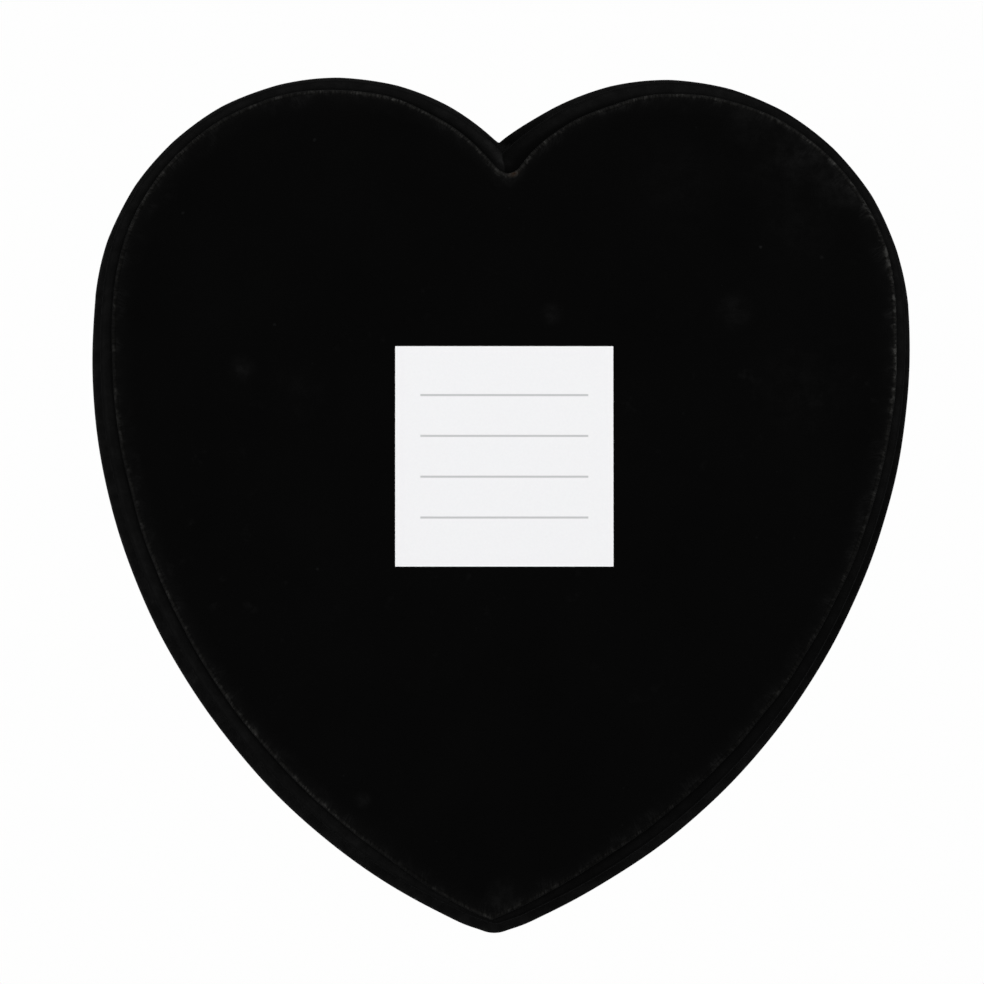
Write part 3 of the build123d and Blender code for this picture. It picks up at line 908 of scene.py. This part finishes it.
def underside():
    """Velvet of the bottom panel: a flat face with a soft shoulder, folded up round the board and turned in.

    The face is the outline shrunk about its middle. Its level rises with the square of the way out over the
    shoulder. The hidden rows behind it shrink to a pole inside the board.
    """
    out, top = edge("bottom_panel_velvet"), high("bottom_panel_velvet")
    board_top = high("bottom_panel_board")
    crowded = np.linspace(1, 0, SHOULDER_ROWS) ** SHOULDER_CROWDING
    size = np.concatenate([np.linspace(0, FACE_SHARE, FACE_ROWS)[:-1], 1 - (1 - FACE_SHARE) * crowded])
    over = np.clip(1 - (1 - size) * HALF_WIDTH / SHOULDER_WIDTH, 0, 1)
    face = np.stack([np.full_like(size, out - PANEL_FOLD), FACE_LEVEL + SHOULDER_DROP * over**2], -1)
    inner = np.linspace(1, 0, HIDDEN_ROWS)[1:]
    fold_level = FACE_LEVEL + SHOULDER_DROP + PANEL_FOLD
    profile = np.concatenate([
        face,
        bend(out - PANEL_FOLD, fold_level, PANEL_FOLD, -90, 0, 12)[1:],
        line((out, fold_level), (out, top), 5),
        line((out, top), (out - TURN_IN, top), 5),
        line((out - TURN_IN, top), (out - TURN_IN, board_top), 2),
        line((out - TURN_IN, board_top), (out - VELVET, board_top), 4),
        line((out - VELVET, board_top), (out - VELVET, fold_level), 4),
        np.repeat([[out - VELVET, fold_level]], len(inner), axis=0),
    ])
    sizes = np.ones(len(profile))
    sizes[:len(size)] = size
    sizes[-len(inner):] = inner
    draw = NOTCH_DRAW * peak(FROM_NOTCH, NOTCH_DRAW_SPAN)[:, None]
    draw = draw + TIP_DRAW * bell(FROM_TIP, np.where(FROM_TIP > 0, *TIP_DRAW_SPANS))[:, None]
    shift = PANEL_EASE + PANEL_BULGE * bell(TURN - PANEL_BULGE_TURN, PANEL_BULGE_SPAN) - notch_slack()
    ripple_seed, wear_seed = PANEL_SEEDS
    shift = shift + 2 * RIPPLE * waves(ripple_seed, PANEL_WAVES, TURN)
    points = carried(profile, PANEL_NOTCH_RADIUS, shift, sizes, draw)
    opened = FOLD_LINE - FAINT_LINE * stretch(*FAINT_TURNS) + STRONG_LINE * stretch(*STRONG_TURNS)
    opened = opened + NOTCH_LINE * bell(FROM_NOTCH, NOTCH_LINE_SPAN)
    opened = opened + TIP_LINE * bell(FROM_TIP, TIP_LINE_SPAN)
    fold = (out - FOLD_LINE_IN * PANEL_FOLD, fold_level - FOLD_LINE_DOWN * PANEL_FOLD)
    wear = ridge_wear(profile, [fold], PANEL_WEAR, wear_seed, sizes) * opened
    tangled = LINT_ROUND + LINT_STRETCH * stretch(*LINT_TURNS, LINT_SOFT)
    tangled = tangled + LINT_NOTCH * bell(FROM_NOTCH, LINT_NOTCH_SPAN)
    lint = ridge_wear(profile, [fold], LINT_REACH, LINT_SEED, sizes) * tangled
    shoulder = np.zeros((len(profile), 1))
    shoulder[:len(size), 0] = over**2
    bare = (bell(np.linalg.norm(profile - fold, axis=-1), BARE_SPOT_SPANS[0]) * (sizes == 1))[:, None]
    bare = bare * bell(FROM_NOTCH - BARE_SPOT_RUN, BARE_SPOT_SPANS[1])[None]
    marks = {"wear": wear, "lint": lint, "bare": bare, "along": RUN[None]}
    # On the shoulder the nap is painted sheen, and the fuzz draws hairs out of the pile
    marks.update(nap=SHOULDER_PAINTED_SHEEN * shoulder, fuzz=SHOULDER_FUZZ * shoulder)
    marks["across"] = ((1 - sizes) * HALF_WIDTH + out - profile[:, 0])[:, None]
    nodes = ["bottom_panel_velvet", "bottom_panel_board"]
    return velvet_piece("underside_velvet", points, FACE_PILE, "tray", nodes, poles=True, **marks)


def read_off(values, place, wrap):
    """Values along the first axis read at places between whole numbers, on Catmull-Rom cubic curves."""
    first = np.floor(place).astype(int)
    t = (place - first).reshape(-1, *[1] * (values.ndim - 1))
    weights = [
        -t / 2 + t**2 - t**3 / 2,
        1 - 2.5 * t**2 + 1.5 * t**3,
        t / 2 + 2 * t**2 - 1.5 * t**3,
        (t**3 - t**2) / 2,
    ]
    near = [first + shift for shift in (-1, 0, 1, 2)]
    near = [index % len(values) if wrap else np.clip(index, 0, len(values) - 1) for index in near]
    return sum(weight * values[index] for weight, index in zip(weights, near))


def puffed(points):
    """Cloth simulation of a crown whose border is held: how far pressure from below moves each point."""
    rows, around = points.shape[:2]
    vertices = np.concatenate([points.reshape(-1, 3), points[-1:].mean(1)])
    ring = np.arange((rows - 1) * around, rows * around)
    quads, caps = grid_faces(rows, around, False)[:, ::-1], pole_faces(ring, rows * around)[:, ::-1]
    mesh = bpy.data.meshes.new("crown_cloth")
    mesh.from_pydata(vertices.tolist(), [], quads.tolist() + caps.tolist())
    cloth = bpy.data.objects.new("crown_cloth", mesh)
    scene = bpy.context.scene
    scene.collection.objects.link(cloth)
    cloth.vertex_groups.new(name="held").add(list(range(around)), 1.0, "REPLACE")
    settings = cloth.modifiers.new("cloth", "CLOTH").settings
    settings.vertex_group_mass = "held"
    settings.effector_weights.gravity = 0.0
    settings.use_pressure = True
    settings.uniform_pressure_force = CLOTH_PRESSURE
    settings.mass = CLOTH_MASS
    settings.bending_stiffness = CLOTH_BENDING
    settings.shrink_min = -CLOTH_EASE
    for step in range(1, CLOTH_FRAMES + 1):
        scene.frame_set(step)
    moved = np.empty(3 * len(vertices))
    cloth.evaluated_get(bpy.context.evaluated_depsgraph_get()).data.vertices.foreach_get("co", moved)
    scene.frame_set(1)
    bpy.data.objects.remove(cloth)
    bpy.data.meshes.remove(mesh)
    return moved.reshape(-1, 3)[:-1].reshape(points.shape) - points


def cloth_settle(crown):
    """How far the points of a crown settle: a simulation on every few of them, eased off towards a most."""
    rows = np.arange(0, len(crown), CLOTH_ROW_STEP)
    round_it = np.searchsorted(TURN, np.arange(CLOTH_AROUND) / CLOTH_AROUND)
    moved = puffed(crown[np.ix_(rows, round_it)])
    moved *= CLOTH_MOST / (CLOTH_MOST + np.linalg.norm(moved, axis=-1, keepdims=True))
    moved = read_off(moved, np.arange(len(crown)) / CLOTH_ROW_STEP, False)
    return read_off(moved.swapaxes(0, 1), TURN * CLOTH_AROUND, True).swapaxes(0, 1)


def lid_cushion():
    """Velvet over the foam of the padded top: turned in below, up the edge and over a crown.

    The crown's height follows (1 - s ** power) ** softness, for s the share of the outline's size.
    """
    out, bottom, top = edge("lid_pad_velvet"), low("lid_pad_velvet"), high("lid_pad_velvet")
    spring, board = low("lid_pad_foam"), low("lid_pad_board")
    size = 1 - np.linspace(0, 1, CROWN_ROWS)[:-1] ** CROWN_CROWDING
    rise = CROWN_START * (1 - size**CROWN_POWER) ** CROWN_SOFTNESS
    crown = np.stack([np.full_like(size, out), spring + (top - spring) * rise], -1)
    inner = np.linspace(0, 1, HIDDEN_ROWS)[:-1]
    profile = np.concatenate([
        np.repeat([[out - VELVET, spring]], len(inner), axis=0),
        line((out - VELVET, spring), (out - VELVET, board), 3),
        line((out - VELVET, board), (out - TURN_IN, board), 3),
        line((out - TURN_IN, board), (out - TURN_IN, bottom), 2),
        line((out - TURN_IN, bottom), (out - FOLD, bottom), 4),
        bend(out - FOLD, bottom + FOLD, FOLD, -90, 0),
        line((out, bottom + FOLD), (out, spring), 3),
        crown,
    ])
    sizes = np.ones(len(profile))
    sizes[:len(inner)] = inner
    sizes[-len(size):] = size
    ripple_seed, wear_seed = CUSHION_SEEDS
    shift = 2 * RIPPLE * waves(ripple_seed, RIPPLE_WAVES, TURN)
    points = carried(profile, PANEL_NOTCH_RADIUS, shift, sizes)
    points[-len(size):] += cloth_settle(points[-len(size):])
    ridge = (out, spring + CUSHION_WEAR_RISE * (top - spring))
    wear = CUSHION_WEAR_SHARE * ridge_wear(profile, [ridge], WALL_WEAR, wear_seed, sizes)
    nodes = ["lid_pad_velvet", "lid_pad_foam"]
    piece = velvet_piece("lid_cushion", points, PILE, "lid", nodes, poles=True, wear=wear, standing=1.0)
    return piece


def side_reach(y):
    """Half width of the insert at a distance along the box: the right half's outline read from y."""
    half = len(OUTLINE) // 2
    right = heart(INSERT_OUT)[0, :half + 1]
    top = int(right[:, 1].argmax())
    return np.interp(y, right[top:, 1][::-1], right[top:, 0][::-1])


def notch_reach(x):
    """How far back the insert reaches between the lobes: the outline next to the notch read from x."""
    right = heart(INSERT_OUT, 0.0)[0, ARC_POINTS[0]:ARC_POINTS[0] + ARC_POINTS[1] // 3]
    return np.interp(np.abs(x), right[:, 0], right[:, 1])


def round_top(half_width, bottom, top, radius):
    """Closed section of (across, level): up one side, over a rounded top, down the other side and back."""
    flat = half_width - radius
    return np.concatenate([
        line((half_width, bottom), (half_width, top - radius), 10),
        bend(flat, top - radius, radius, 0, 90, 10),
        line((flat, top), (-flat, top), 3),
        bend(-flat, top - radius, radius, 90, 180, 10),
        line((-half_width, top - radius), (-half_width, bottom), 10),
        line((-half_width, bottom), (half_width, bottom), 6),
    ])


def insert_piece(name, points, nodes):
    """Piece of the insert with a rubbed top: wear rises over a small depth below its highest point."""
    level = points[..., 2]
    wear = INSERT_WEAR_SHARE * smooth(level.max() - INSERT_WEAR_DEPTH, level.max(), level)
    marks = {"wear": wear, "nap": INSERT_NAP, "standing": 1.0}
    return velvet_piece(name, points, PILE, "tray", nodes, poles=True, **marks)


def divider_cover(name):
    """Velvet folded over a standing divider: a section with a rounded top run from wall to wall.

    A cross divider ends where its own y meets the heart; the one between the lobes ends at the notch.
    """
    lowest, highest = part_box(f"{name}_velvet")
    cross = highest.x - lowest.x > highest.y - lowest.y
    middle = (lowest + highest) / 2
    width = min(highest.x - lowest.x, highest.y - lowest.y)
    section = round_top(width / 2, lowest.z, highest.z, DIVIDER_ROUND)
    share = np.linspace(0, 1, DIVIDER_STEPS)[:, None]
    across = np.broadcast_to(section[:, 0], (DIVIDER_STEPS, len(section)))
    level = np.broadcast_to(section[:, 1], across.shape)
    sag = DIVIDER_SAG * waves(DIVIDER_SEED, DIVIDER_WAVES, share) * smooth(lowest.z, highest.z, level)
    if cross:
        end = side_reach(middle.y + section[:, 0])
        points = np.stack([end * (2 * share - 1), middle.y + across, level - sag], -1)
    else:
        end = notch_reach(section[:, 0])
        points = np.stack([across, lowest.y + (end - lowest.y) * share, level - sag], -1)
    return insert_piece(f"{name}_cover", points, [f"{name}_velvet"])


def ring_roll(name, seed):
    """Padded roll of the ring holder: a section with a round top run from wall to wall.

    Near each end the top is drawn down and the sides in, by a bell curve of the way from the end.
    Shallow ripples cross the top, the sum of a few sines along the roll.
    """
    lowest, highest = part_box(f"{name}_velvet")
    middle = (lowest + highest) / 2
    section = round_top((highest.y - lowest.y) / 2, lowest.z, highest.z, ROLL_ROUND)
    end = side_reach(middle.y + section[:, 0])
    share = np.sin(np.linspace(-math.pi / 2, math.pi / 2, ROLL_STEPS))[:, None]
    height = smooth(lowest.z, highest.z, section[:, 1])
    tuck = ROLL_TUCK * bell(end * (1 - np.abs(share)), ROLL_TUCK_SPAN)
    ripple = ROLL_RIPPLE * np.abs(waves(seed, ROLL_WAVES, (share + 1) / 2))
    level = section[:, 1] - height * (tuck + ripple)
    across = section[:, 0] - np.sign(section[:, 0]) * ROLL_TUCK_SIDES * tuck * height
    points = np.stack(np.broadcast_arrays(end * share, middle.y + across, level), -1)
    piece = insert_piece(name, points, [f"{name}_velvet", f"{name}_foam"])
    return piece


def pale_floor():
    """Finish of the floor: clear from below, and clear far away, so that it has no edge."""
    paint = Finish("pale_floor", {"Roughness": 0.9, "Base Color": FLOOR_COLOUR, "Specular IOR Level": 0.0})
    clear = paint.node("ShaderNodeBsdfTransparent", {}, {})["BSDF"]
    below = paint.node("ShaderNodeNewGeometry", {}, {})["Backfacing"]
    far = paint.away(0.0, 0.0).between(*FLOOR_FADE)
    painted = Value(paint, paint.shader.outputs["BSDF"])
    paint.cover(1 - (1 - below) * (1 - far), painted, clear)
    return paint.material


def lay_floor():
    """Wide square floor under the box, which only the camera sees."""
    corners = [(-1, -1), (1, -1), (1, 1), (-1, 1)]
    vertices = [(x * FLOOR_REACH, y * FLOOR_REACH, FLOOR_LEVEL) for x, y in corners]
    mesh = bpy.data.meshes.new("floor")
    mesh.from_pydata(vertices, [], [(0, 1, 2, 3)])
    mesh.materials.append(pale_floor())
    floor = bpy.data.objects.new("floor", mesh)
    for ray in ("visible_diffuse", "visible_glossy", "visible_transmission", "visible_shadow"):
        setattr(floor, ray, False)
    bpy.context.scene.collection.objects.link(floor)


def surroundings():
    """White surroundings that light less than they show."""
    world = bpy.data.worlds.new("white_surround")
    world.use_nodes = True
    nodes = Nodes(world.node_tree)
    seen = nodes.node("ShaderNodeLightPath", {}, {})["Is Camera Ray"]
    background = world.node_tree.nodes["Background"]
    nodes.feed(background, {"Color": (1, 1, 1), "Strength": AMBIENT + (SURROUND - AMBIENT) * seen})
    bpy.context.scene.world = world
    bpy.context.scene.view_settings.view_transform = "Standard"


def lamp(name, place, aim, side, watts):
    """Soft square lamp at a place, turned to the point it is aimed at."""
    data = bpy.data.lights.new(name, "AREA")
    data.shape, data.size, data.energy = "SQUARE", side, watts
    made = bpy.data.objects.new(name, data)
    made.location = place
    made.rotation_euler = (Vector(aim) - Vector(place)).to_track_quat("-Z", "Y").to_euler()
    made.visible_camera = False
    bpy.context.scene.collection.objects.link(made)


def camera():
    """Camera below the box, looking up at its underside, with the notch at the top of the picture."""
    data = bpy.data.cameras.new("camera")
    data.lens, data.sensor_width = CAMERA_LENS_MM, SENSOR_MM
    data.clip_start, data.clip_end = CAMERA_CLIP
    made = bpy.data.objects.new("camera", data)
    back = (CAMERA_PLACE - CAMERA_AIM).normalized()
    right = Vector((0, 1, 0)).cross(back).normalized()
    turn = Matrix((right, back.cross(right), back)).transposed() @ Matrix.Rotation(CAMERA_ROLL, 3, "Z")
    made.matrix_world = Matrix.Translation(CAMERA_PLACE) @ turn.to_4x4()
    bpy.context.scene.collection.objects.link(made)
    bpy.context.scene.camera = made


def dress_boards():
    """Gives every board, lining and label that still shows its finish."""
    own = {"paper_label": LABEL_FINISH, "tray_floor_lining": FLOOR_PILE}
    for name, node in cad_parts.items():
        usual = BOARD_FINISH if name.endswith("board") else PAPER_FINISH
        node.data.materials.clear()
        node.data.materials.append(own.get(name, usual))


tray_wrap()
lid_wrap()
underside()
lid_cushion()
for divider in DIVIDERS:
    divider_cover(divider)
for number in range(1, ROLL_COUNT + 1):
    ring_roll(f"ring_roll_{number}", ROLL_SEED + number)
dress_boards()
lay_floor()
surroundings()
for settings in LAMPS:
    lamp(*settings)
camera()
